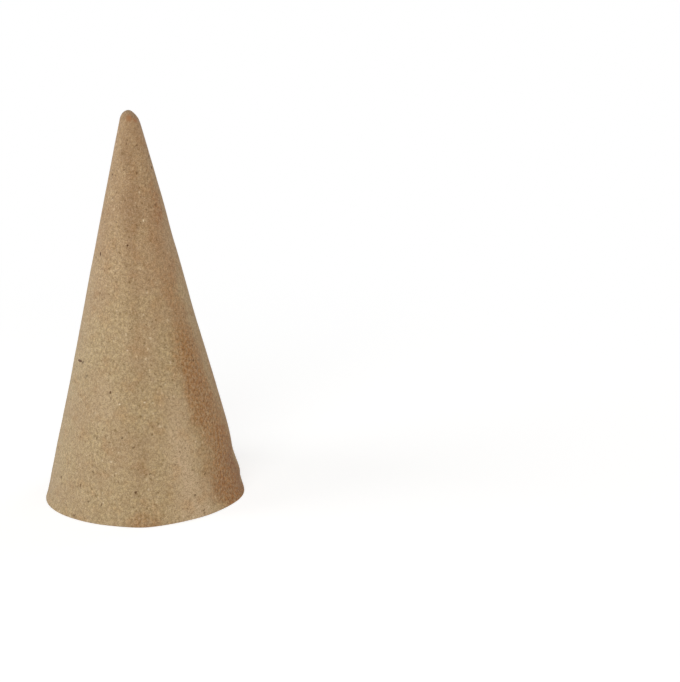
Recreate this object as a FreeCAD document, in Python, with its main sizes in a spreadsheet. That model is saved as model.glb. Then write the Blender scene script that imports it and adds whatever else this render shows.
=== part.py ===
import FreeCAD, Part
import math
import os

import Sketcher

# A hollow craft cone of pulp board under a kraft paper cover. It stands on its open
# mouth with the point up. The origin is the centre of the mouth, on the table, and
# +Z is the cone's axis. Sizes are in millimetres and degrees.

NODE = "paper_cone"

SIZES = {
    "mouth_diameter": 76.0,
    "cone_height": 145.0,
    "tip_radius": 3.6,
    "wall_thickness": 1.55,
    "tip_plug": 6.0,
    "cover_thickness": 0.35,
    "hem_width": 3.1,
    "rim_flare": 0.4,
    "flare_height": 3.5,
    "rim_edge_radius": 0.5,
    "lap_angle": 14.0,
    "slit_width": 0.8,
    "slit_height": 1.2,
    "upper_dent_azimuth": 3.0,
    "upper_dent_height": 12.8,
    "upper_dent_depth": 0.8,
    "upper_dent_radius": 36.0,
    "upper_dent_spread": 15.0,
    "rim_dent_azimuth": 5.0,
    "rim_dent_height": 2.7,
    "rim_dent_depth": 0.8,
    "rim_dent_radius": 4.2,
    "rim_dent_spread": 13.0,
    "point_dent_azimuth": -6.0,
    "point_dent_rise": 43.0,
    "point_dent_depth": 0.8,
    "point_dent_radius": 8.0,
}

NOTES = {
    "mouth_diameter": "outside of the cone's side, carried down to the table",
    "cone_height": "table to the top of the point",
    "tip_radius": "outside of the rounded point",
    "wall_thickness": "pulp board and its cover, square to the side",
    "tip_plug": "solid pulp between the hollow and the top of the point",
    "cover_thickness": "one layer of the cover, at its hem and at its lap",
    "hem_width": "how far the cover is turned up inside the mouth",
    "rim_flare": "how far the rim stands out past the line of the side",
    "flare_height": "where the side starts to flare towards the rim",
    "rim_edge_radius": "where the cover turns round the cut edge of the board",
    "lap_angle": "part of the turn on which the cover lies over itself",
    "slit_width": "gap at the rim between the ends of the hem",
    "slit_height": "how far that gap runs up the wall",
    "upper_dent_azimuth": "direction of the upper dent, from +X towards +Y",
    "upper_dent_height": "middle of the upper dent above the table",
    "upper_dent_depth": "how deep the upper dent is pressed in",
    "upper_dent_radius": "curvature of the upper dent, up the side",
    "upper_dent_spread": "angle from the middle of the upper dent to its end round the cone",
    "rim_dent_azimuth": "direction of the dent at the rim, from +X towards +Y",
    "rim_dent_height": "middle of the dent at the rim above the table",
    "rim_dent_depth": "how deep the dent at the rim is pressed in",
    "rim_dent_radius": "curvature of the dent at the rim, up the side",
    "rim_dent_spread": "angle from the middle of the dent at the rim to its end round the cone",
    "point_dent_azimuth": "direction of the crushed side of the point, from +X towards +Y",
    "point_dent_rise": "how far above level the crushed side of the point faces",
    "point_dent_depth": "how deep the point is crushed",
    "point_dent_radius": "curvature of the crushed side of the point",
}

# Sketch positions of a line's or an arc's start, end and centre, and the two axes
START, END, CENTRE = range(1, 4)
X_AXIS, Y_AXIS = range(-1, -3, -1)


def add_sheet(doc):
    """The sheet of driving sizes: one row each, with its name, value and meaning."""
    sheet = doc.addObject("Spreadsheet::Sheet", "Sizes")
    for row, (alias, value) in enumerate(SIZES.items(), start=1):
        sheet.set("A%d" % row, alias)
        sheet.set("B%d" % row, str(value))
        sheet.set("C%d" % row, NOTES[alias])
        sheet.setAlias("B%d" % row, alias)
    doc.recompute()
    return sheet


def origin_plane(body, role):
    """One of the body's own origin planes."""
    for plane in body.Origin.OriginFeatures:
        if plane.Role == role:
            return plane
    raise ValueError("no plane " + role)


def add_sketch(body, name, role):
    """An empty sketch on an origin plane of the body."""
    sketch = body.newObject("Sketcher::SketchObject", name)
    sketch.AttachmentSupport = [(origin_plane(body, role), "")]
    sketch.MapMode = "FlatFace"
    return sketch


def add_line(sketch, start, end):
    """A straight edge between two (x, y) points of the sketch."""
    first = FreeCAD.Vector(start[0], start[1], 0)
    last = FreeCAD.Vector(end[0], end[1], 0)
    return sketch.addGeometry(Part.LineSegment(first, last), False)


def add_arc(sketch, centre, radius, first_angle, last_angle):
    """An arc about an (x, y) centre, anticlockwise between two angles in radians."""
    circle = Part.Circle(FreeCAD.Vector(centre[0], centre[1], 0), FreeCAD.Vector(0, 0, 1), radius)
    return sketch.addGeometry(Part.ArcOfCircle(circle, first_angle, last_angle), False)


def add_point(sketch, place):
    """A construction point at an (x, y) place of the sketch."""
    return sketch.addGeometry(Part.Point(FreeCAD.Vector(place[0], place[1], 0)), True)


def relate(sketch, kind, *places):
    """A geometric constraint."""
    return sketch.addConstraint(Sketcher.Constraint(kind, *places))


def dimension(sketch, kind, places, name, value, formula):
    """A named dimension that starts at a value and follows a formula of the sheet."""
    index = sketch.addConstraint(Sketcher.Constraint(kind, *places, value))
    sketch.renameConstraint(index, name)
    sketch.setExpression("Constraints." + name, formula)


def side_angle():
    """Angle between the axis and the side that runs from the mouth to the round point."""
    mouth_radius = SIZES["mouth_diameter"] / 2
    rise = SIZES["cone_height"] - SIZES["tip_radius"]
    reach = math.hypot(mouth_radius, rise)
    return math.acos(SIZES["tip_radius"] / reach) - math.atan2(rise, mouth_radius)


def side_point(height, depth):
    """The point of the side at a height, moved square into the wall by a depth."""
    angle = side_angle()
    radius = SIZES["mouth_diameter"] / 2 - height * math.tan(angle)
    return (radius - depth * math.cos(angle), height - depth * math.sin(angle))


def flare_angle():
    """Angle between the axis and the flared strip of wall just above the rim."""
    foot_radius = SIZES["mouth_diameter"] / 2 + SIZES["rim_flare"]
    top_radius = side_point(SIZES["flare_height"], 0)[0]
    return math.atan2(foot_radius - top_radius, SIZES["flare_height"])


def flare_point(height, depth):
    """The point of the flared strip at a height, moved level into the wall to a depth."""
    angle = flare_angle()
    foot_radius = SIZES["mouth_diameter"] / 2 + SIZES["rim_flare"]
    return (foot_radius - height * math.tan(angle) - depth / math.cos(angle), height)


def add_wall(body):
    """The board with its cover, turned about the axis as one section.

    The section runs up the outside, over the point, down the hollow, over the step of
    the turned-up hem and round the rim. It is drawn near its solved form.
    """
    sketch = add_sketch(body, "WallSection", "YZ_Plane")
    angle = side_angle()
    flare = flare_angle()
    edge = SIZES["rim_edge_radius"]
    rim_thickness = SIZES["wall_thickness"] + SIZES["cover_thickness"]
    tip_centre = (0, SIZES["cone_height"] - SIZES["tip_radius"])
    tip_start = (
        SIZES["tip_radius"] * math.cos(angle),
        tip_centre[1] + SIZES["tip_radius"] * math.sin(angle),
    )
    top = (0, SIZES["cone_height"])
    hollow_top = (0, SIZES["cone_height"] - SIZES["tip_plug"])
    inner_reach = side_point(hollow_top[1], 0)[0] * math.cos(angle) - SIZES["wall_thickness"]
    dome_radius = inner_reach / (1 - math.sin(angle))
    dome_centre = (0, hollow_top[1] - dome_radius)
    dome_start = (
        dome_radius * math.cos(angle),
        dome_centre[1] + dome_radius * math.sin(angle),
    )
    hem_top = side_point(SIZES["hem_width"], SIZES["wall_thickness"])
    hem_face = flare_point(SIZES["hem_width"], rim_thickness)
    inner_edge = flare_point(edge, rim_thickness - edge)
    outer_edge = flare_point(edge, edge)
    flare_top = side_point(SIZES["flare_height"], 0)

    side = add_line(sketch, flare_top, tip_start)
    tip = add_arc(sketch, tip_centre, SIZES["tip_radius"], angle, math.pi / 2)
    core = add_line(sketch, top, hollow_top)
    dome = add_arc(sketch, dome_centre, dome_radius, angle, math.pi / 2)
    inner = add_line(sketch, dome_start, hem_top)
    step = add_line(sketch, hem_top, hem_face)
    hem = add_line(sketch, hem_face, flare_point(edge, rim_thickness))
    inner_turn = add_arc(sketch, inner_edge, edge, math.pi + flare, 1.5 * math.pi)
    foot = add_line(sketch, (inner_edge[0], 0), (outer_edge[0], 0))
    outer_turn = add_arc(sketch, outer_edge, edge, -math.pi / 2, flare)
    lip = add_line(sketch, flare_point(edge, 0), flare_top)
    mouth_point = add_point(sketch, (SIZES["mouth_diameter"] / 2, 0))
    flare_foot = add_point(sketch, flare_point(0, 0))

    relate(sketch, "Tangent", side, END, tip, START)
    relate(sketch, "Coincident", tip, END, core, START)
    relate(sketch, "Coincident", core, END, dome, END)
    relate(sketch, "Tangent", dome, START, inner, START)
    relate(sketch, "Coincident", inner, END, step, START)
    relate(sketch, "Coincident", step, END, hem, START)
    relate(sketch, "Tangent", hem, END, inner_turn, START)
    relate(sketch, "Tangent", inner_turn, END, foot, START)
    relate(sketch, "Tangent", foot, END, outer_turn, START)
    relate(sketch, "Tangent", outer_turn, END, lip, START)
    relate(sketch, "Coincident", lip, END, side, START)

    relate(sketch, "PointOnObject", tip, CENTRE, Y_AXIS)
    relate(sketch, "PointOnObject", core, START, Y_AXIS)
    relate(sketch, "PointOnObject", core, END, Y_AXIS)
    relate(sketch, "PointOnObject", dome, CENTRE, Y_AXIS)
    relate(sketch, "PointOnObject", foot, START, X_AXIS)
    relate(sketch, "PointOnObject", foot, END, X_AXIS)
    relate(sketch, "PointOnObject", mouth_point, START, X_AXIS)
    relate(sketch, "PointOnObject", mouth_point, START, side)
    relate(sketch, "PointOnObject", flare_foot, START, X_AXIS)
    relate(sketch, "PointOnObject", flare_foot, START, lip)

    relate(sketch, "Parallel", inner, side)
    relate(sketch, "Parallel", hem, lip)
    relate(sketch, "Perpendicular", step, inner)
    relate(sketch, "Equal", inner_turn, outer_turn)

    dimension(sketch, "DistanceX", (X_AXIS, START, mouth_point, START), "mouth_radius",
              SIZES["mouth_diameter"] / 2, "Sizes.mouth_diameter / 2")
    dimension(sketch, "DistanceY", (X_AXIS, START, tip, END), "cone_height",
              SIZES["cone_height"], "Sizes.cone_height")
    dimension(sketch, "Radius", (tip,), "tip_radius",
              SIZES["tip_radius"], "Sizes.tip_radius")
    dimension(sketch, "DistanceY", (core, END, core, START), "tip_plug",
              SIZES["tip_plug"], "Sizes.tip_plug")
    dimension(sketch, "Distance", (side, START, inner), "wall_thickness",
              SIZES["wall_thickness"], "Sizes.wall_thickness")
    dimension(sketch, "DistanceX", (mouth_point, START, flare_foot, START), "rim_flare",
              SIZES["rim_flare"], "Sizes.rim_flare")
    dimension(sketch, "DistanceY", (X_AXIS, START, side, START), "flare_height",
              SIZES["flare_height"], "Sizes.flare_height")
    dimension(sketch, "Distance", (lip, END, hem), "rim_thickness",
              rim_thickness, "Sizes.wall_thickness + Sizes.cover_thickness")
    dimension(sketch, "DistanceY", (X_AXIS, START, inner, END), "hem_width",
              SIZES["hem_width"], "Sizes.hem_width")
    dimension(sketch, "Radius", (outer_turn,), "rim_edge_radius",
              SIZES["rim_edge_radius"], "Sizes.rim_edge_radius")

    lean = relate(sketch, "Angle", Y_AXIS, START, side, START, angle)
    sketch.renameConstraint(lean, "side_lean")
    sketch.setDriving(lean, False)

    wall = body.newObject("PartDesign::Revolution", "Wall")
    wall.Profile = sketch
    wall.ReferenceAxis = (sketch, ["V_Axis"])
    wall.Angle = 360
    return sketch, side, foot, lip


def add_lap(body, wall_sketch, side, foot, lip):
    """The strip at the back where the cover lies over itself, one layer proud of the wall.

    It starts in the middle of the wall, so that it joins it all over, and its two long
    edges run up the cone to where the point starts to round.
    """
    sketch = add_sketch(body, "LapSection", "YZ_Plane")
    for edge in (side, foot, lip):
        sketch.addExternal(wall_sketch.Name, "Edge%d" % (edge + 1))
    # A sketch counts its outside edges down from its two axes
    wall_side, wall_foot, wall_lip = range(Y_AXIS - 1, Y_AXIS - 4, -1)

    cover = SIZES["cover_thickness"]
    half_wall = SIZES["wall_thickness"] / 2
    tip_height = SIZES["cone_height"] - SIZES["tip_radius"] * (1 - math.sin(side_angle()))
    foot_middle = flare_point(0, (SIZES["wall_thickness"] + cover) / 2)
    foot_outside = flare_point(0, -cover)
    corner = side_point(SIZES["flare_height"], -cover)
    top_outside = side_point(tip_height, -cover)
    top_inside = side_point(tip_height, half_wall)

    bottom = add_line(sketch, foot_middle, foot_outside)
    lower = add_line(sketch, foot_outside, corner)
    upper = add_line(sketch, corner, top_outside)
    top = add_line(sketch, top_outside, top_inside)
    joint = add_line(sketch, top_inside, foot_middle)

    relate(sketch, "Coincident", bottom, END, lower, START)
    relate(sketch, "Coincident", lower, END, upper, START)
    relate(sketch, "Coincident", upper, END, top, START)
    relate(sketch, "Coincident", top, END, joint, START)
    relate(sketch, "Coincident", joint, END, bottom, START)
    relate(sketch, "Symmetric", wall_foot, START, wall_foot, END, bottom, START)
    relate(sketch, "PointOnObject", bottom, END, X_AXIS)
    relate(sketch, "Parallel", lower, wall_lip)
    relate(sketch, "Parallel", upper, wall_side)
    relate(sketch, "Perpendicular", top, wall_side)
    relate(sketch, "PointOnObject", wall_side, END, top)

    dimension(sketch, "Distance", (wall_lip, END, lower), "lower_step",
              cover, "Sizes.cover_thickness")
    dimension(sketch, "Distance", (wall_side, END, upper), "upper_step",
              cover, "Sizes.cover_thickness")
    dimension(sketch, "Distance", (wall_side, END, top, END), "joint_depth",
              half_wall, "Sizes.wall_thickness / 2")

    lap = body.newObject("PartDesign::Revolution", "Lap")
    lap.Profile = sketch
    lap.ReferenceAxis = (sketch, ["V_Axis"])
    lap.Midplane = True
    lap.Angle = SIZES["lap_angle"]
    lap.setExpression("Angle", "Sizes.lap_angle")


def add_slit(body):
    """The gap in the rim at the free edge of the lap, where the ends of the hem part."""
    sketch = add_sketch(body, "SlitOutline", "XZ_Plane")
    middle = SIZES["mouth_diameter"] / 2 * math.sin(math.radians(SIZES["lap_angle"] / 2))
    half_width = SIZES["slit_width"] / 2
    point = (middle, SIZES["slit_height"])
    near = (middle - half_width, 0)
    far = (middle + half_width, 0)

    base = add_line(sketch, near, far)
    rising = add_line(sketch, far, point)
    falling = add_line(sketch, point, near)

    relate(sketch, "Coincident", base, END, rising, START)
    relate(sketch, "Coincident", rising, END, falling, START)
    relate(sketch, "Coincident", falling, END, base, START)
    relate(sketch, "PointOnObject", base, START, X_AXIS)
    relate(sketch, "PointOnObject", base, END, X_AXIS)
    relate(sketch, "Equal", rising, falling)
    dimension(sketch, "DistanceX", (X_AXIS, START, rising, END), "slit_middle",
              middle, "Sizes.mouth_diameter / 2 * sin(Sizes.lap_angle / 2)")
    dimension(sketch, "DistanceX", (base, START, base, END), "slit_width",
              SIZES["slit_width"], "Sizes.slit_width")
    dimension(sketch, "DistanceY", (X_AXIS, START, rising, END), "slit_height",
              SIZES["slit_height"], "Sizes.slit_height")

    slit = body.newObject("PartDesign::Pocket", "RimSlit")
    slit.Profile = sketch
    slit.Type = "ThroughAll"


def place_cutter(body, cutter, azimuth, reach, level):
    """Sets a cutter's centre at a distance from the axis in a direction, and at a level.

    The seam of its round face is turned to the far side, clear of the dent.
    """
    half_turn = FreeCAD.Rotation(FreeCAD.Vector(0, 0, 1), 180)
    cutter.AttachmentSupport = [(origin_plane(body, "XY_Plane"), "")]
    cutter.MapMode = "FlatFace"
    cutter.AttachmentOffset = FreeCAD.Placement(FreeCAD.Vector(0, 0, 0), half_turn)
    cutter.setExpression("AttachmentOffset.Rotation.Angle", "180 + " + azimuth)
    cutter.setExpression("AttachmentOffset.Base.x", "%s * cos(%s)" % (reach, azimuth))
    cutter.setExpression("AttachmentOffset.Base.y", "%s * sin(%s)" % (reach, azimuth))
    cutter.setExpression("AttachmentOffset.Base.z", level)


def add_side_dent(body, name, prefix):
    """A wide shallow dent in the outside of the wall, which runs out smoothly at both ends.

    It is cut by the inner side of a ring that goes round the cone. The ring's axis stands
    off on the far side, so that the ring meets the wall only on the dent's spread.
    """
    lean = "WallSection.Constraints.side_lean"
    stand_off = "(Sizes.{0}_radius - Sizes.{0}_depth)".format(prefix)
    wall_radius = "(Sizes.mouth_diameter / 2 - Sizes.{0}_height * tan({1}))".format(prefix, lean)
    axis_shift = "(Sizes.{0}_depth / (1 - cos(Sizes.{0}_spread)))".format(prefix)
    level = "Sizes.{0}_height + {1} * sin({2})".format(prefix, stand_off, lean)

    ring = body.newObject("PartDesign::SubtractiveTorus", name)
    ring.setExpression("Radius1", "%s + %s * cos(%s) + %s" % (wall_radius, stand_off, lean, axis_shift))
    ring.setExpression("Radius2", "Sizes.%s_radius" % prefix)
    place_cutter(body, ring, "Sizes.%s_azimuth" % prefix, "-" + axis_shift, level)


def add_point_dent(body):
    """The crushed side of the point, pressed in as a ball would leave it."""
    stand_off = "(Sizes.tip_radius + Sizes.point_dent_radius - Sizes.point_dent_depth)"
    reach = stand_off + " * cos(Sizes.point_dent_rise)"
    level = "Sizes.cone_height - Sizes.tip_radius + %s * sin(Sizes.point_dent_rise)" % stand_off

    ball = body.newObject("PartDesign::SubtractiveSphere", "PointDent")
    ball.setExpression("Radius", "Sizes.point_dent_radius")
    place_cutter(body, ball, "Sizes.point_dent_azimuth", reach, level)


def add_paper_cone(doc):
    """The one piece: wall with hem and rim, lap of the cover, slit and dents."""
    body = doc.addObject("PartDesign::Body", "PaperCone")
    body.Label = NODE
    wall_sketch, side, foot, lip = add_wall(body)
    doc.recompute()
    add_lap(body, wall_sketch, side, foot, lip)
    doc.recompute()
    add_slit(body)
    doc.recompute()
    add_side_dent(body, "UpperDent", "upper_dent")
    doc.recompute()
    add_side_dent(body, "RimDent", "rim_dent")
    doc.recompute()
    add_point_dent(body)
    doc.recompute()
    return body


def check_document(doc, bodies):
    """Stops the build where an object failed or a piece has no sound solid."""
    for item in doc.Objects:
        if "Invalid" in item.State or "Error" in item.State:
            raise RuntimeError("failed object " + item.Name)
    for body in bodies:
        if body.Shape.isNull() or not body.Shape.isValid():
            raise RuntimeError("unsound shape " + body.Label)


def main():
    doc = FreeCAD.newDocument("PaperCone")
    add_sheet(doc)
    bodies = [add_paper_cone(doc)]
    doc.recompute()
    check_document(doc, bodies)
    os.makedirs("parts", exist_ok=True)
    for body in bodies:
        body.Shape.exportStep(os.path.join("parts", body.Label + ".step"))
        print(body.Label, "volume", round(body.Shape.Volume, 1), "mm3")


main()
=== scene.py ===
import math

import bpy
import numpy as np
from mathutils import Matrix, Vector, noise


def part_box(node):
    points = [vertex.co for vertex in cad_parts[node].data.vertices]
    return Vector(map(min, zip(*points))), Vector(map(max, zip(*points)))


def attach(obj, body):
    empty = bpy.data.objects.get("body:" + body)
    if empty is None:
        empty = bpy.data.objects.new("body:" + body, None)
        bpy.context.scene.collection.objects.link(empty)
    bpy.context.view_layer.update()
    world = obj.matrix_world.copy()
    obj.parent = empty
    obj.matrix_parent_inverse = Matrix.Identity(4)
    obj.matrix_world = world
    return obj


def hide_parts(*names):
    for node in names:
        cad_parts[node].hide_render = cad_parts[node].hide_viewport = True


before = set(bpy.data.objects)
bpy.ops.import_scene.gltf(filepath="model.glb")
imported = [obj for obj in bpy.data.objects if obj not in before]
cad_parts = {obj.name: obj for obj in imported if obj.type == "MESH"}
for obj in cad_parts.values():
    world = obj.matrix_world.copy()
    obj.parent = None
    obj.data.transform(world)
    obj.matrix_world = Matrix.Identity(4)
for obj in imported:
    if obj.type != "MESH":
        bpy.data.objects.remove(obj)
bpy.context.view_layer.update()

# A standing kraft paper cone on a pale floor. Lengths are metres and angles degrees,
# unless a name says otherwise. Azimuth runs from +X towards +Y, as in the model.

NODE = "paper_cone"
BODY = "root"

# Sizes of the cone's section
CONE_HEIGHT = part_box(NODE)[1].z
MOUTH_RADIUS = 0.038
TIP_RADIUS = 0.0036
WALL = 0.00155
COVER = 0.00035
TIP_PLUG = 0.006
RIM_FLARE = 0.0004
FLARE_HEIGHT = 0.0035
RIM_EDGE = 0.0005
HEM_WIDTH = 0.0031

# The lap of the cover at the back, and the slit in the rim at its free edge
LAP_FREE_EDGE = 83.0
LAP_BURIED_EDGE = 97.0
LAP_BURIED_RAMP = 1.2
LAP_FADE_START = 0.128
SLIT_WIDTH = 0.0008
SLIT_HEIGHT = 0.0012
SLIT_COLUMNS = np.array([0.03, 0.15, 0.3, 0.45, 0.62])

# Angle between the axis and the side, tangent to the round point
TIP_CENTRE = CONE_HEIGHT - TIP_RADIUS
LEAN = (
    math.acos(TIP_RADIUS / math.hypot(MOUTH_RADIUS, TIP_CENTRE))
    - math.atan2(TIP_CENTRE, MOUTH_RADIUS)
)
APEX_HEIGHT = MOUTH_RADIUS / math.tan(LEAN)

# Rows of the mesh. The side outside is cut in three, from the point down, and the hollow
# into the hem, its edge, the stretch above it up to EVEN_LEVEL, the wall and the dome.
TIP_FIRST_ANGLE = 88.0
TIP_ROWS = 13
LOW_SIDE_TOP = 0.022
SIDE_ROWS = (88, 26, 8)
RIM_EDGE_ROWS = 6
HEM_PARTS = (0.25, 0.45, 0.62, 0.78, 0.9, 0.98)
HEM_EDGE_HEIGHT = 0.0001
ABOVE_HEM_PARTS = (0.08, 0.22, 0.45, 0.7, 1.0)
EVEN_LEVEL = 0.0075
HOLLOW_ROWS = 50
DOME_LAST_ANGLE = 84.0
DOME_ROWS = 8

# Noise along the hem's torn edge: how fine, where it starts, how far it goes
HEM_WAVES = (
    (1.6, Vector((3.1, 0.0, 0.0)), 0.0007),
    (11.0, Vector((0.0, 7.7, 0.0)), 0.00028),
    (34.0, Vector((0.0, 0.0, 5.5)), 0.00012),
)

# Noise over the whole board: cycles a metre, how far it goes
BOARD_WAVES = (
    (45.0, 0.00016),
    (170.0, 0.00005),
)

# Bumps and dents of the wall: azimuth, height, half width round the cone, half height and
# how far out
WALL_BUMPS = (
    (-2.0, 0.0126, 0.0153, 0.0063, -0.00090),
    (7.7, 0.0016, 0.0100, 0.0021, -0.00175),
    (5.0, 0.025, 0.0120, 0.0090, 0.00011),
    (5.0, 0.070, 0.0120, 0.0150, -0.00033),
    (5.0, 0.101, 0.0080, 0.0080, -0.00024),
    (5.0, 0.119, 0.0060, 0.0120, 0.00011),
    (195.0, 0.051, 0.0150, 0.0260, -0.00033),
)

# Soft ridges and hollows that run up the side: azimuth, half width, height where they end
# and how far out
WALL_RIDGES = (
    (-75.0, 13.0, 0.105, -0.00032),
    (-44.0, 12.0, 0.085, 0.00034),
    (-20.0, 12.0, 0.120, -0.00018),
    (62.0, 16.0, 0.110, 0.00022),
    (128.0, 17.0, 0.090, -0.00022),
    (160.0, 15.0, 0.120, 0.00018),
)

# Where the rim's foot is bent out or in below RIM_BEND_HEIGHT: azimuth, half width and how
# far out
RIM_BENDS = (
    (-15.5, 17.2, 0.00171),
    (-54.4, 13.4, -0.00037),
    (-81.7, 12.4, 0.00115),
    (-104.7, 26.6, -0.00084),
    (-150.7, 18.8, 0.00092),
    (-177.0, 10.0, -0.00110),
    (70.0, 20.0, 0.00040),
    (120.0, 22.0, -0.00025),
)
RIM_BEND_HEIGHT = 0.0029

# The point is a little crushed: centre, reach, and how far it is pushed there
POINT_PUSHES = (
    ((-0.0007, -0.0004, 0.1437), 0.0029, (0.00012, 0.0, 0.00070)),
    ((0.0028, -0.0004, 0.1441), 0.0017, (-0.00090, 0.0, -0.00090)),
)

# Marks on the paper, and the painted light and shade among them: azimuth, height, half length and
# half width in millimetres, how far they are turned from the line up the side, and how strong they
# are
BARK_FLECKS = (
    (-146.0, 0.0557, 2.50, 0.60, 85.0, 1.0),
    (-105.7, 0.0474, 0.85, 0.52, 10.0, 0.9),
    (-29.3, 0.0553, 0.65, 0.48, 30.0, 0.9),
    (-87.2, 0.0124, 0.70, 0.55, 0.0, 0.9),
    (-138.5, 0.0950, 0.95, 0.55, -10.0, 1.0),
    (-91.9, 0.0990, 0.52, 0.55, 0.0, 1.0),
    (-13.4, 0.1251, 0.75, 0.55, 15.0, 1.0),
    (-138.8, 0.1231, 0.60, 0.50, 0.0, 0.8),
    (-96.5, 0.1340, 0.45, 0.55, 60.0, 0.6),
    (-58.5, 0.1335, 0.50, 0.45, 0.0, 0.7),
    (-68.5, 0.1240, 0.50, 0.45, 0.0, 0.6),
    (-126.5, 0.1150, 0.50, 0.40, 0.0, 0.6),
    (-97.0, 0.1145, 0.50, 0.45, 0.0, 0.5),
    (-62.0, 0.1434, 0.45, 0.45, 0.0, 0.5),
    (-95.0, 0.1436, 0.40, 0.50, 0.0, 0.4),
    (-107.6, 0.0075, 1.00, 0.40, 5.0, 0.7),
    (-88.0, 0.0283, 0.70, 0.40, 60.0, 0.6),
    (75.0, 0.0410, 0.90, 0.45, 35.0, 0.9),
    (118.0, 0.0820, 0.75, 0.50, -50.0, 0.8),
    (158.0, 0.0230, 1.05, 0.42, 20.0, 1.0),
    (48.0, 0.0960, 0.60, 0.50, 70.0, 0.9),
)
CREAM_FLECKS = (
    (-98.1, 0.0434, 0.45, 0.45, 0.0, 0.9),
    (-79.2, 0.0440, 0.42, 0.48, 0.0, 0.8),
    (-91.9, 0.0624, 0.40, 0.40, 0.0, 0.6),
    (-64.5, 0.1074, 0.60, 0.36, 0.0, 0.9),
    (100.0, 0.0530, 0.45, 0.45, 0.0, 0.8),
)
# Reddish-brown stains. Those between azimuths -45 and 10 lie round the right flank and are painted
# shade with painted warm reflected light.
RUDDY_STAINS_AND_SHADE = (
    (-14.5, 0.0080, 46.0, 18.5, -7.0, 0.90),
    (-30.5, 0.0480, 37.0, 9.8, -6.0, 0.78),
    (10.0, 0.0200, 50.0, 20.0, 0.0, 0.35),
    (-35.0, 0.0760, 26.0, 6.5, -4.0, 0.42),
    (-81.0, 0.0020, 5.0, 8.0, 0.0, 0.40),
    (-45.0, 0.1040, 14.0, 4.0, 0.0, 0.18),
    (-31.0, 0.1120, 13.0, 3.2, 0.0, 0.45),
    (62.0, 0.0950, 36.0, 9.0, 0.0, 0.20),
    (138.0, 0.0500, 48.0, 17.0, 8.0, 0.28),
)
# Painted shade in dark bands up the side: up the front, low at the right and high at the left.
SHADE_BANDS = (
    (-84.0, 0.0200, 28.0, 4.0, 0.0, 0.50),
    (-86.0, 0.0840, 28.0, 4.5, 0.0, 0.60),
    (-85.0, 0.1090, 24.0, 3.8, 0.0, 0.90),
    (-90.0, 0.1290, 10.0, 2.6, 0.0, 0.80),
    (-84.0, 0.0500, 15.0, 5.0, 0.0, 0.35),
    (-4.0, 0.0090, 20.0, 10.0, 0.0, 1.00),
    (-136.0, 0.1020, 16.0, 4.0, 0.0, 0.15),
)
# Pale bands. The first two are painted light, up the front right of the side and at its foot; the
# others are paler patches.
PAINTED_LIGHT_AND_PALE_BANDS = (
    (-56.0, 0.0180, 42.0, 9.5, 0.0, 1.00),
    (-52.0, 0.0040, 14.0, 13.0, 0.0, 1.00),
    (-110.0, 0.0430, 16.0, 7.0, 0.0, 0.35),
    (95.0, 0.0400, 40.0, 8.0, 0.0, 0.50),
)
POINT_STAINS = (
    (-82.0, 0.1430, 1.9, 1.7, 0.0, 0.85),
    (-42.5, 0.1422, 1.3, 1.5, 0.0, 0.85),
)

# The cover is unrolled into a flat sheet, in millimetres, to draw the paper's pattern
MM = 1000.0
SHEET_MIDDLE = -90.0
INNER_SHEET_APART = 500.0

# Specks: how far noise shakes them, in cells, and the smallest one against the largest
FLECK_SHAKE = 0.22
SMALLEST_FLECK = 0.45

# Colours of the paper, 0 to 255 as a display shows them. The first two are the mottle's.
# The rest lie over it in this order: pattern, how strongly it covers, colour.
MOTTLE_COLOURS = ((149, 126, 87), (212, 188, 145))
PAPER_LAYERS = (
    ("blotches", 0.30, (176, 152, 110)),
    ("clouds", 0.45, (172, 140, 106)),
    # Painted light, and paler patches, in the pale bands
    ("painted_light_and_pale_bands", 1.0, (204, 179, 145)),
    ("toward_point", 0.30, (158, 119, 80)),
    ("pale_fibres", 0.58, (206, 184, 152)),
    ("dark_fibres", 0.64, (136, 110, 74)),
    ("specks", 0.62, (120, 94, 58)),
    ("bark", 0.75, (98, 74, 42)),
    ("cream", 0.55, (222, 204, 172)),
)

# Tints that let the paper show through: pattern, and what the paper is multiplied by. The first is
# reddish-brown stains, and on the right flank painted shade with painted warm reflected light; the
# second darkens the same places further where the mottle is dark; the third is painted shade; then
# a patchy blush, and a slightly darker, warmer tone above the middle.
PAPER_TINTS = (
    ("ruddy_stain_and_shade", (0.81, 0.51, 0.26, 1.0)),
    ("deep_stain_and_shade", (0.74, 0.70, 0.66, 1.0)),
    ("painted_shade_bands", (0.83, 0.79, 0.75, 1.0)),
    ("blush", (0.97, 0.91, 0.85, 1.0)),
    ("upper_half", (1.0, 0.955, 0.955, 1.0)),
)

# Marks that lie over the stains and the painted shade, in the same form as the layers
PAPER_MARKS = (
    ("cream_flecks", 1.0, (230, 214, 186)),
    ("bark_flecks", 1.0, (84, 48, 10)),
    ("point_stains", 1.0, (168, 108, 58)),
    ("at_point", 0.40, (160, 127, 95)),
    ("inside", 0.25, (140, 108, 72)),
)

# The floor: half its side, how bright it is under other light, and for the camera the
# distances between which its shadow fades, its shade and the light that lifts it to white
FLOOR_HALF = 2.0
FLOOR_GREY = 0.85
SHADOW_FADE = (0.08, 0.40)
SHADOW_GREY = 0.50
SHADOW_LIFT = 0.72

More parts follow.
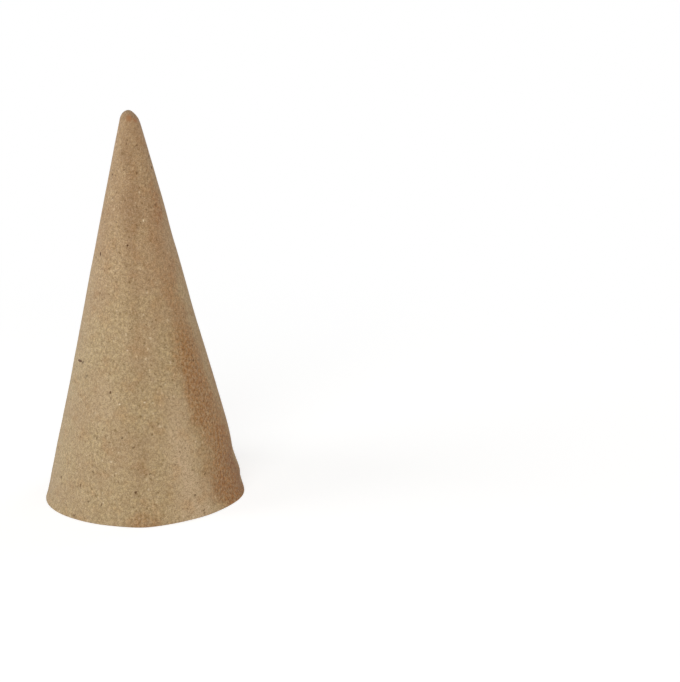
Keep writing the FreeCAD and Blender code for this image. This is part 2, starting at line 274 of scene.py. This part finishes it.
# Softboxes: name, place, side, power in watts, tint. All are aimed at LIGHT_TARGET.
LIGHT_TARGET = (0.0, 0.0, 0.06)
SOFTBOXES = (
    ("left_softbox", (-0.925, -0.163, 0.40), 0.6, 4.4, (1.0, 1.0, 1.0)),
    ("front_softbox", (-0.163, -0.925, 0.40), 0.6, 4.6, (1.0, 1.0, 1.0)),
    ("right_card", (0.906, -0.423, 0.20), 0.6, 3.2, (1.0, 0.87, 0.72)),
    ("back_softbox", (0.527, 0.628, 0.634), 0.5, 1.9, (0.86, 0.94, 1.0)),
)
ROOM_TINT = (1.0, 0.95, 0.88, 1.0)
ROOM_STRENGTH = 0.18

# The camera of the photograph. The lens and the sensor are in millimetres.
CAMERA_PLACE = (0.0756, -0.4421, 0.1883)
CAMERA_LOOKS_DOWN = 16.27
CAMERA_LENS = 64.29
CAMERA_SENSOR = 36.0
CAMERA_CLIP = (0.01, 20.0)


def smooth_step(value):
    """A smooth ramp from 0 to 1 as the value runs from 0 to 1."""
    part = np.clip(value, 0.0, 1.0)
    return part * part * (3.0 - 2.0 * part)


def turn_between(azimuth, centre):
    """Signed angle in degrees from a centre to each azimuth, within half a turn."""
    return (azimuth - centre + 180.0) % 360.0 - 180.0


def cone_azimuths():
    """Azimuths of the mesh's columns: one a degree, and more at the edges of the lap."""
    even = np.arange(0.0, 360.0, 1.0)
    slit = [LAP_FREE_EDGE - SLIT_COLUMNS, LAP_FREE_EDGE + SLIT_COLUMNS]
    ramp = LAP_BURIED_EDGE + np.linspace(-0.5, 0.5, 5) * LAP_BURIED_RAMP
    merged = np.unique(np.round(np.concatenate([even, *slit, ramp]), 3))
    return merged[merged != LAP_FREE_EDGE]


def slit_lift(azimuth):
    """How far the rim's foot is lifted in the slit."""
    along_rim = np.radians(turn_between(azimuth, LAP_FREE_EDGE)) * MOUTH_RADIUS
    return SLIT_HEIGHT * np.clip(1.0 - np.abs(along_rim) / (SLIT_WIDTH / 2), 0.0, 1.0)


def hem_height(azimuth):
    """The height of the hem's torn edge, which wanders and is slightly ragged."""
    heights = []
    for angle in np.radians(azimuth):
        place = Vector((math.cos(angle), math.sin(angle), 0.0))
        level = HEM_WIDTH
        for fineness, start, amount in HEM_WAVES:
            level += amount * noise.noise(place * fineness + start)
        heights.append(level)
    return np.array(heights)


def lap_rise(azimuth, height):
    """How far the cover stands proud where it lies over itself."""
    past_free = turn_between(azimuth, LAP_FREE_EDGE)
    past_buried = turn_between(azimuth, LAP_BURIED_EDGE)
    on_lap = np.where(past_free > 0.0, 1.0 - smooth_step(past_buried / LAP_BURIED_RAMP + 0.5), 0.0)
    fade = 1.0 - smooth_step((height - LAP_FADE_START) / (TIP_CENTRE - LAP_FADE_START))
    return COVER * on_lap * fade


def side_radius(height):
    """Radius of the side at a height, with the flare above the rim."""
    flare = RIM_FLARE * np.clip(1.0 - height / FLARE_HEIGHT, 0.0, 1.0)
    return MOUTH_RADIUS - height * math.tan(LEAN) + flare


def wall_shift(azimuth, height):
    """How far the wall stands out of a true cone: its bumps, dents, ridges and the bent rim."""
    radius = np.maximum(MOUTH_RADIUS - height * math.tan(LEAN), TIP_RADIUS)
    shift = np.zeros(np.broadcast(azimuth, height).shape)
    for centre, middle, half_width, half_height, amount in WALL_BUMPS:
        across = np.radians(turn_between(azimuth, centre)) * radius / half_width
        along = (height - middle) / half_height
        shift = shift + amount * np.exp(-across * across - along * along)
    for centre, half_width, end_height, amount in WALL_RIDGES:
        across = turn_between(azimuth, centre) / half_width
        fade = 1.0 - smooth_step(height / end_height)
        shift = shift + amount * np.exp(-across * across) * fade
    near_rim = np.clip(1.0 - height / RIM_BEND_HEIGHT, 0.0, 1.0)
    for centre, half_width, amount in RIM_BENDS:
        across = turn_between(azimuth, centre) / half_width
        shift = shift + amount * np.exp(-across * across) * near_rim
    return shift


def point_shift(place):
    """How far each vertex moves where the point is crushed."""
    moved = np.zeros(place.shape)
    for centre, reach, push in POINT_PUSHES:
        apart = np.linalg.norm(place - np.array(centre), axis=-1) / reach
        moved = moved + np.exp(-apart * apart)[..., None] * np.array(push)
    return moved


def fine_waves(azimuth, radius, height):
    """Slight unevenness of the board, the same on both of its faces."""
    shift = np.zeros(radius.shape)
    angles = np.radians(np.broadcast_to(azimuth, radius.shape))
    xs, ys = radius * np.cos(angles), radius * np.sin(angles)
    for index in np.ndindex(radius.shape):
        place = Vector((xs[index], ys[index], height[index]))
        for cycles, amount in BOARD_WAVES:
            shift[index] += amount * noise.noise(place * cycles)
    return shift


def arc_rows(centre_radius, centre_height, bend, start, end, count):
    """Radius and height of the rows along an arc of the section, between two angles."""
    turns = [math.radians(angle) for angle in np.linspace(start, end, count)]
    return [
        (centre_radius + bend * math.cos(turn), centre_height + bend * math.sin(turn))
        for turn in turns
    ]


def outside_rows(azimuth):
    """Radius and height of the rows from the point down to the flat of the rim."""
    rows = arc_rows(0.0, TIP_CENTRE, TIP_RADIUS, TIP_FIRST_ANGLE, math.degrees(LEAN), TIP_ROWS)
    levels = (TIP_CENTRE + TIP_RADIUS * math.sin(LEAN), LOW_SIDE_TOP, FLARE_HEIGHT, RIM_EDGE)
    for top, bottom, count in zip(levels, levels[1:], SIDE_ROWS):
        for height in np.linspace(top, bottom, count)[1:]:
            rows.append((side_radius(height), height))
    foot_radius = side_radius(RIM_EDGE) - RIM_EDGE
    rows += arc_rows(foot_radius, RIM_EDGE, RIM_EDGE, -15.0, -90.0, RIM_EDGE_ROWS)
    radius = np.array([row[0] for row in rows])[:, None] + np.zeros(len(azimuth))
    height = np.array([row[1] for row in rows])[:, None] + np.zeros(len(azimuth))
    return radius, height


def inside_rows(azimuth):
    """Radius and height of the rows from the flat of the rim up the hollow to its end."""
    hem = hem_height(azimuth)
    rim_thickness = (WALL + COVER) / math.cos(LEAN)
    wall_thickness = WALL / math.cos(LEAN)
    radius, height = [], []

    def add(row_radius, row_height):
        radius.append(row_radius + np.zeros(len(azimuth)))
        height.append(row_height + np.zeros(len(azimuth)))

    edge_radius = side_radius(RIM_EDGE) - rim_thickness + RIM_EDGE
    for row in arc_rows(edge_radius, RIM_EDGE, RIM_EDGE, -90.0, -165.0, RIM_EDGE_ROWS):
        add(*row)
    for part in HEM_PARTS:
        level = hem * part
        add(side_radius(level) - rim_thickness, level)
    step = rim_thickness - wall_thickness
    hem_face = side_radius(hem) - rim_thickness
    hem_top = hem + HEM_EDGE_HEIGHT
    add(hem_face + 0.25 * step, hem + HEM_EDGE_HEIGHT / 2)
    add(np.maximum(hem_face + 0.9 * step, side_radius(hem) - wall_thickness), hem_top)
    for part in ABOVE_HEM_PARTS:
        level = hem_top + part * (EVEN_LEVEL - hem_top)
        add(side_radius(level) - wall_thickness, level)

    dome_top = CONE_HEIGHT - TIP_PLUG
    reach = (MOUTH_RADIUS - dome_top * math.tan(LEAN)) * math.cos(LEAN) - WALL
    dome_radius = reach / (1.0 - math.sin(LEAN))
    dome_centre = dome_top - dome_radius
    dome_start = dome_centre + dome_radius * math.sin(LEAN)
    for level in np.linspace(EVEN_LEVEL, dome_start, HOLLOW_ROWS)[1:]:
        add(MOUTH_RADIUS - level * math.tan(LEAN) - wall_thickness, level)
    dome = (0.0, dome_centre, dome_radius, math.degrees(LEAN), DOME_LAST_ANGLE, DOME_ROWS)
    for row in arc_rows(*dome)[1:]:
        add(*row)
    return np.array(radius), np.array(height)


def lift_foot(azimuth, height):
    """Heights near the rim with the slit cut in: the foot rises and the wall above gives way."""
    lift = slit_lift(azimuth)
    squeeze = np.clip(1.0 - height / FLARE_HEIGHT, 0.0, 1.0)
    return height + lift * squeeze


def cone_points():
    """The cone's vertices: both poles, and a grid that runs outside down and inside up."""
    azimuth = cone_azimuths()
    outer_radius, outer_height = outside_rows(azimuth)
    inner_radius, inner_height = inside_rows(azimuth)
    radius = np.concatenate([outer_radius, inner_radius])
    height = lift_foot(azimuth, np.concatenate([outer_height, inner_height]))
    outer_rows = len(outer_radius)

    foot = np.clip(height / RIM_EDGE, 0.0, 1.0)
    shift = wall_shift(azimuth, height) + fine_waves(azimuth, radius, height)
    rise = lap_rise(azimuth, height)
    rise[outer_rows:] = 0.0
    fade_at_point = smooth_step(radius / TIP_RADIUS)
    moved = shift * fade_at_point + rise
    radius = radius + moved * math.cos(LEAN)
    height = height + moved * math.sin(LEAN) * foot

    angle = np.radians(azimuth)
    grid = np.stack([radius * np.cos(angle), radius * np.sin(angle), height], axis=-1)
    tip_pole = np.array([0.0, 0.0, CONE_HEIGHT])
    grid[:outer_rows] += point_shift(grid[:outer_rows])
    tip_pole += point_shift(tip_pole)
    dome_pole = (0.0, 0.0, CONE_HEIGHT - TIP_PLUG)
    return grid, tuple(tip_pole), dome_pole, outer_rows


def build_cone():
    """One closed mesh for the cone, with smooth shading and a mark on its inner face."""
    grid, tip_pole, dome_pole, outer_rows = cone_points()
    rows, columns = grid.shape[:2]
    points = [tip_pole] + [tuple(p) for p in grid.reshape(-1, 3)] + [dome_pole]
    last = len(points) - 1

    def index(row, column):
        return 1 + row * columns + column % columns

    faces = []
    for column in range(columns):
        faces.append((0, index(0, column), index(0, column + 1)))
        for row in range(rows - 1):
            faces.append((
                index(row, column), index(row + 1, column),
                index(row + 1, column + 1), index(row, column + 1),
            ))
        faces.append((last, index(rows - 1, column + 1), index(rows - 1, column)))

    mesh = bpy.data.meshes.new("paper_cone_skin")
    mesh.from_pydata(points, [], faces)
    mesh.validate()
    mesh.shade_smooth()
    inside = mesh.attributes.new("inside", "FLOAT", "FACE")
    is_inside = [float(face[0] == last or face[0] > outer_rows * columns) for face in faces]
    inside.data.foreach_set("value", is_inside)

    cone = bpy.data.objects.new("paper_cone_skin", mesh)
    bpy.context.scene.collection.objects.link(cone)
    return cone


class NodeSheet:
    """Adds shader nodes to one material and joins them, with numbers or sockets as inputs."""

    def __init__(self, tree):
        self.tree = tree

    def add(self, kind, inputs=(), **settings):
        node = self.tree.nodes.new(kind)
        for name, value in settings.items():
            setattr(node, name, value)
        for name, value in dict(inputs).items():
            self.put(node.inputs[name], value)
        return node

    def put(self, socket, value):
        if isinstance(value, bpy.types.NodeSocket):
            self.tree.links.new(value, socket)
        else:
            socket.default_value = value

    def math(self, operation, first, second=0.0):
        node = self.add("ShaderNodeMath", {0: first, 1: second}, operation=operation)
        return node.outputs[0]

    def ramp(self, value, low, high, to_low=0.0, to_high=1.0):
        node = self.add("ShaderNodeMapRange", {
            "Value": value, "From Min": low, "From Max": high, "To Min": to_low, "To Max": to_high,
        }, interpolation_type="SMOOTHSTEP")
        return node.outputs["Result"]

    def blend(self, amount, first, second, way="MIX"):
        node = self.add("ShaderNodeMix", data_type="RGBA", clamp_factor=True, blend_type=way)
        self.put(node.inputs["Factor"], amount)
        self.put(node.inputs["A"], first)
        self.put(node.inputs["B"], second)
        return node.outputs["Result"]


def colour(red, green, blue):
    """A shader colour from the red, green and blue of a display, 0 to 255."""
    def linear(level):
        part = level / 255.0
        return part / 12.92 if part <= 0.04045 else ((part + 0.055) / 1.055) ** 2.4
    return (linear(red), linear(green), linear(blue), 1.0)


def grey(level):
    """A grey shader colour."""
    return (level, level, level, 1.0)


def sheet_turn(azimuth):
    """How far round the apex of the unrolled cover an azimuth lies, in radians."""
    return math.radians(turn_between(azimuth, SHEET_MIDDLE)) * math.sin(LEAN)


def sheet_point(azimuth, height):
    """Where a point of the side lies on the unrolled cover, in millimetres."""
    turn = sheet_turn(azimuth)
    slant = (APEX_HEIGHT - height) / math.cos(LEAN) * MM
    return slant * math.sin(turn), slant * math.cos(turn)


def sheet_place(sheet):
    """The same for the point being shaded, how far up it is, and 1 on the inner face.

    The paper is a flat sector before it is rolled, so its fibres are drawn on that flat
    sheet. The cut of the sheet is at +Y, under the lap. The inner face gets its own part
    of the pattern.
    """
    place = sheet.add("ShaderNodeTexCoord").outputs["Object"]
    parts = sheet.add("ShaderNodeSeparateXYZ", {"Vector": place})
    x, y, z = parts.outputs
    inside = sheet.add("ShaderNodeAttribute", attribute_name="inside").outputs["Fac"]
    turn = sheet.math("ARCTAN2", x, sheet.math("MULTIPLY", y, -1.0))
    apex = sheet.add("ShaderNodeCombineXYZ", {"Z": APEX_HEIGHT})
    slant = sheet.add("ShaderNodeVectorMath", {0: place, 1: apex.outputs[0]}, operation="DISTANCE")
    slant_mm = sheet.math("MULTIPLY", slant.outputs["Value"], MM)
    fan = sheet.math("MULTIPLY", turn, math.sin(LEAN))
    across = sheet.math("MULTIPLY", slant_mm, sheet.math("SINE", fan))
    along = sheet.math("MULTIPLY", slant_mm, sheet.math("COSINE", fan))
    apart = sheet.math("MULTIPLY", inside, INNER_SHEET_APART)
    flat = sheet.add("ShaderNodeCombineXYZ", {"X": sheet.math("ADD", across, apart), "Y": along})
    return flat.outputs[0], z, inside


def turned(sheet, flat, angle, length, width):
    """The sheet's coordinates turned, then counted in fibre lengths and fibre widths."""
    node = sheet.add("ShaderNodeMapping", {
        "Vector": flat,
        "Rotation": (0.0, 0.0, math.radians(angle)),
    })
    squeezed = sheet.add("ShaderNodeVectorMath", {
        0: node.outputs[0], 1: (1.0 / length, 1.0 / width, 1.0),
    }, operation="MULTIPLY")
    return squeezed.outputs[0]


def cloud(sheet, flat, scale, detail, roughness, low, high, offset=0.0, stretch=1.0):
    """Smooth noise on the sheet, spread to run from 0 to 1, and stretched up the sheet.

    The scale is in cycles a millimetre.
    """
    place = sheet.add("ShaderNodeVectorMath", {
        0: flat, 1: (1.0, 1.0 / stretch, 1.0), 2: (offset, -offset, 0.0),
    }, operation="MULTIPLY_ADD")
    grain = sheet.add("ShaderNodeTexNoise", {
        "Vector": place.outputs[0], "Scale": scale, "Detail": detail, "Roughness": roughness,
    }, noise_dimensions="2D")
    return sheet.ramp(grain.outputs["Fac"], low, high)


def fibres(sheet, flat, angles, length, width, low, high):
    """Short thin streaks that lie at several angles, from 0 where there is none to 1."""
    total = 0.0
    for angle in angles:
        place = turned(sheet, flat, angle, length, width)
        grain = sheet.add("ShaderNodeTexNoise", {
            "Vector": place, "Scale": 1.0, "Detail": 1.0, "Roughness": 0.5, "Distortion": 0.5,
        }, noise_dimensions="2D")
        streak = sheet.ramp(grain.outputs["Fac"], low, high)
        total = sheet.math("MAXIMUM", streak, total)
    return total


def flecks(sheet, flat, angle, spacing, stretch, chance, size):
    """Scattered specks, one in some of the cells of the sheet, from 0 to 1."""
    place = turned(sheet, flat, angle, spacing * stretch, spacing)
    bend = sheet.add("ShaderNodeTexNoise", {
        "Vector": flat, "Scale": 1.3, "Detail": 1.0,
    }, noise_dimensions="2D")
    shaken = sheet.add("ShaderNodeVectorMath", {
        0: bend.outputs["Color"], 1: (FLECK_SHAKE, FLECK_SHAKE, 0.0), 2: place,
    }, operation="MULTIPLY_ADD")
    cells = sheet.add("ShaderNodeTexVoronoi", {
        "Vector": shaken.outputs[0], "Scale": 1.0,
    }, voronoi_dimensions="2D")
    draw = sheet.add("ShaderNodeSeparateColor", {"Color": cells.outputs["Color"]})
    chosen = sheet.math("LESS_THAN", draw.outputs[0], chance)
    reach = sheet.math("MULTIPLY_ADD", draw.outputs[1], size)
    reach.node.inputs[2].default_value = size * SMALLEST_FLECK
    spot = sheet.ramp(sheet.math("DIVIDE", cells.outputs["Distance"], reach), 1.0, 0.5)
    return sheet.math("MULTIPLY", spot, chosen)


def marks(sheet, flat, places, edge):
    """Ellipses at given places of the side, from 0 outside them to their strength within.

    The edge says what share of an ellipse its soft border takes.
    """
    total = 0.0
    for azimuth, height, half_length, half_width, angle, strength in places:
        across, along = sheet_point(azimuth, height)
        lie = math.radians(angle) - sheet_turn(azimuth)
        near = sheet.add("ShaderNodeMapping", {
            "Vector": flat, "Location": (across, along, 0.0),
            "Rotation": (0.0, 0.0, lie), "Scale": (half_width, half_length, 1.0),
        }, vector_type="TEXTURE")
        reach = sheet.add("ShaderNodeVectorMath", {0: near.outputs[0]}, operation="LENGTH")
        mark = sheet.ramp(reach.outputs["Value"], 1.0, 1.0 - edge, 0.0, strength)
        total = sheet.math("MAXIMUM", mark, total)
    return total


def shaken_sheet(sheet, flat, scale, reach):
    """The sheet's coordinates pushed about by noise, so that the edge of a mark is ragged."""
    bend = sheet.add("ShaderNodeTexNoise", {
        "Vector": flat, "Scale": scale, "Detail": 2.0,
    }, noise_dimensions="2D")
    centred = sheet.add("ShaderNodeVectorMath", {
        0: bend.outputs["Color"], 1: (0.5, 0.5, 0.5),
    }, operation="SUBTRACT")
    pushed = sheet.add("ShaderNodeVectorMath", {
        0: centred.outputs[0], 1: (reach, reach, 0.0), 2: flat,
    }, operation="MULTIPLY_ADD")
    return pushed.outputs[0]


def share(sheet, amount, part):
    """A pattern made fainter."""
    return sheet.math("MULTIPLY", amount, part)


def paper_patterns(sheet):
    """The patterns of the kraft paper and of the light and shade painted on it, by name, from 0
    where there is none to 1.
    """
    flat, height, inside = sheet_place(sheet)
    ragged = shaken_sheet(sheet, flat, scale=1.2, reach=0.5)
    wandering = shaken_sheet(sheet, flat, scale=0.10, reach=8.0)
    mottle = cloud(sheet, flat, 1.05, detail=4.0, roughness=0.72, low=0.28, high=0.72, stretch=1.4)
    patches = cloud(sheet, flat, 0.70, detail=3.0, roughness=0.65, low=0.32, high=0.64, offset=60.0)
    patchy = sheet.ramp(patches, 0.0, 1.0, 0.45, 1.10)
    # Reddish-brown stains, and painted shade with painted warm reflected light on the right flank
    ruddy_stain_and_shade = sheet.math("MULTIPLY", marks(sheet, wandering, RUDDY_STAINS_AND_SHADE, edge=0.6), patchy)
    grain = {"detail": 3.0, "roughness": 0.6, "low": 0.35}
    streak = {"width": 0.34, "low": 0.58, "high": 0.74}
    return {
        "mottle": mottle,
        "blotches": cloud(sheet, flat, 0.30, high=0.65, offset=40.0, **grain),
        "clouds": cloud(sheet, flat, 0.055, high=0.70, offset=90.0, **grain),
        "blush": cloud(sheet, flat, 0.16, 2.0, 0.5, low=0.50, high=0.75, offset=150.0),
        "pale_fibres": fibres(sheet, flat, (8, 52, 97, 141), length=1.7, **streak),
        "dark_fibres": fibres(sheet, flat, (28, 74, 118, 163), length=1.5, **streak),
        "bark": flecks(sheet, flat, 35, spacing=5.6, stretch=1.5, chance=0.16, size=0.085),
        "specks": flecks(sheet, flat, 120, spacing=2.1, stretch=1.3, chance=0.22, size=0.17),
        "cream": flecks(sheet, flat, 80, spacing=3.0, stretch=1.3, chance=0.22, size=0.12),
        "bark_flecks": marks(sheet, ragged, BARK_FLECKS, edge=0.5),
        "cream_flecks": marks(sheet, ragged, CREAM_FLECKS, edge=0.6),
        "point_stains": marks(sheet, ragged, POINT_STAINS, edge=0.8),
        "ruddy_stain_and_shade": ruddy_stain_and_shade,
        # Darker in the same places where the mottle is dark: stains, and painted shade on the right
        # flank
        "deep_stain_and_shade": share(sheet, ruddy_stain_and_shade, sheet.ramp(mottle, 0.65, 0.15)),
        # Painted shade
        "painted_shade_bands": marks(sheet, wandering, SHADE_BANDS, edge=0.8),
        # Painted light, and paler patches
        "painted_light_and_pale_bands": marks(sheet, wandering, PAINTED_LIGHT_AND_PALE_BANDS, edge=1.0),
        "toward_point": sheet.ramp(height, 0.080, 0.130),
        "upper_half": sheet.ramp(height, 0.060, 0.095),
        "at_point": sheet.ramp(height, CONE_HEIGHT - 0.014, CONE_HEIGHT),
        "inside": inside,
    }


def paper_tone(sheet, patterns):
    """The paper's colour: the mottle, then the layers, the stains and the painted shade and light,
    and the marks over it.
    """
    tone = sheet.blend(patterns["mottle"], *(colour(*shade) for shade in MOTTLE_COLOURS))
    for name, cover, shade in PAPER_LAYERS:
        tone = sheet.blend(share(sheet, patterns[name], cover), tone, colour(*shade))
    for name, tint in PAPER_TINTS:
        tone = sheet.blend(patterns[name], tone, tint, "MULTIPLY")
    for name, cover, shade in PAPER_MARKS:
        tone = sheet.blend(share(sheet, patterns[name], cover), tone, colour(*shade))
    return tone


def kraft_material():
    """Brown kraft paper: cloudy and mottled, with fibres, brown bark flecks and pale ones, stains,
    and painted light and shade.
    """
    material = bpy.data.materials.new("kraft_paper")
    material.use_nodes = True
    sheet = NodeSheet(material.node_tree)
    shader = material.node_tree.nodes["Principled BSDF"]
    patterns = paper_patterns(sheet)
    sheet.put(shader.inputs["Base Color"], paper_tone(sheet, patterns))

    relief = sheet.math("ADD", patterns["mottle"], share(sheet, patterns["pale_fibres"], 0.35))
    relief = sheet.math("SUBTRACT", relief, share(sheet, patterns["dark_fibres"], 0.25))
    relief = sheet.math("ADD", relief, share(sheet, patterns["bark"], 0.3))
    bump = sheet.add("ShaderNodeBump", {"Strength": 0.6, "Distance": 0.00016, "Height": relief})
    sheet.put(shader.inputs["Normal"], bump.outputs["Normal"])
    sheet.put(shader.inputs["Roughness"], sheet.ramp(patterns["mottle"], 0.0, 1.0, 0.74, 0.88))
    shader.inputs["Specular IOR Level"].default_value = 0.4
    shader.inputs["Sheen Weight"].default_value = 0.12
    shader.inputs["Sheen Roughness"].default_value = 0.5
    return material


def white_for_camera(sheet):
    """1 for the rays that see the background directly, in a reflection or through glass."""
    path = sheet.add("ShaderNodeLightPath")
    seen = sheet.math("MAXIMUM", path.outputs["Is Camera Ray"], path.outputs["Is Glossy Ray"])
    return sheet.math("MAXIMUM", seen, path.outputs["Is Transmission Ray"])


def build_floor():
    """A pale floor that keeps a soft shadow near the cone and is plain white further out."""
    signs = ((-1, -1), (1, -1), (1, 1), (-1, 1))
    corners = [(x * FLOOR_HALF, y * FLOOR_HALF, 0.0) for x, y in signs]
    mesh = bpy.data.meshes.new("floor")
    mesh.from_pydata(corners, [], [(0, 1, 2, 3)])
    floor = bpy.data.objects.new("floor", mesh)
    bpy.context.scene.collection.objects.link(floor)

    material = bpy.data.materials.new("pale_floor")
    material.use_nodes = True
    tree = material.node_tree
    tree.nodes.remove(tree.nodes["Principled BSDF"])
    sheet = NodeSheet(tree)
    seen = white_for_camera(sheet)
    place = sheet.add("ShaderNodeTexCoord").outputs["Object"]
    reach = sheet.add("ShaderNodeVectorMath", {0: place}, operation="LENGTH").outputs["Value"]
    far = sheet.ramp(reach, *SHADOW_FADE)
    plain = sheet.add("ShaderNodeBsdfDiffuse", {"Color": grey(FLOOR_GREY)})
    shaded = sheet.add("ShaderNodeBsdfDiffuse", {"Color": grey(SHADOW_GREY)})
    lift = sheet.add("ShaderNodeEmission", {"Color": grey(1.0), "Strength": SHADOW_LIFT})
    white = sheet.add("ShaderNodeEmission", {"Color": grey(1.0), "Strength": 1.0})
    near = sheet.add("ShaderNodeAddShader", {0: shaded.outputs[0], 1: lift.outputs[0]})
    shown = sheet.add("ShaderNodeMixShader", {0: far, 1: near.outputs[0], 2: white.outputs[0]})
    mixed = sheet.add("ShaderNodeMixShader", {0: seen, 1: plain.outputs[0], 2: shown.outputs[0]})
    sheet.put(tree.nodes["Material Output"].inputs["Surface"], mixed.outputs[0])
    mesh.materials.append(material)


def add_softbox(name, place, size, power, tint):
    """A square softbox at a place, aimed at the cone."""
    lamp = bpy.data.lights.new(name, "AREA")
    lamp.shape = "SQUARE"
    lamp.size = size
    lamp.energy = power
    lamp.color = tint
    light = bpy.data.objects.new(name, lamp)
    light.location = place
    aim = Vector(LIGHT_TARGET) - Vector(place)
    light.rotation_euler = aim.to_track_quat("-Z", "Y").to_euler()
    light.visible_camera = False
    bpy.context.scene.collection.objects.link(light)


def build_light():
    """Soft light from the left and front, warm at the right, cool at the back, and a dim room."""
    for softbox in SOFTBOXES:
        add_softbox(*softbox)

    world = bpy.data.worlds.new("studio")
    world.use_nodes = True
    bpy.context.scene.world = world
    tree = world.node_tree
    sheet = NodeSheet(tree)
    room = tree.nodes["Background"]
    room.inputs["Color"].default_value = ROOM_TINT
    room.inputs["Strength"].default_value = ROOM_STRENGTH
    plain = sheet.add("ShaderNodeBackground", {"Color": grey(1.0), "Strength": 1.0})
    mixed = sheet.add("ShaderNodeMixShader", {
        0: white_for_camera(sheet), 1: room.outputs[0], 2: plain.outputs[0],
    })
    sheet.put(tree.nodes["World Output"].inputs["Surface"], mixed.outputs[0])


def build_camera():
    """The photograph's view: level across, looking a little down, with the cone at the left."""
    data = bpy.data.cameras.new("camera")
    data.sensor_width = CAMERA_SENSOR
    data.lens = CAMERA_LENS
    data.clip_start, data.clip_end = CAMERA_CLIP
    camera = bpy.data.objects.new("camera", data)
    camera.location = CAMERA_PLACE
    camera.rotation_euler = (math.radians(90.0 - CAMERA_LOOKS_DOWN), 0.0, 0.0)
    bpy.context.scene.collection.objects.link(camera)
    bpy.context.scene.camera = camera


def main():
    bpy.context.scene.view_settings.view_transform = "Standard"
    cone = build_cone()
    cone.data.materials.append(kraft_material())
    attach(cone, BODY)
    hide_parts(NODE)
    build_floor()
    build_light()
    build_camera()


main()
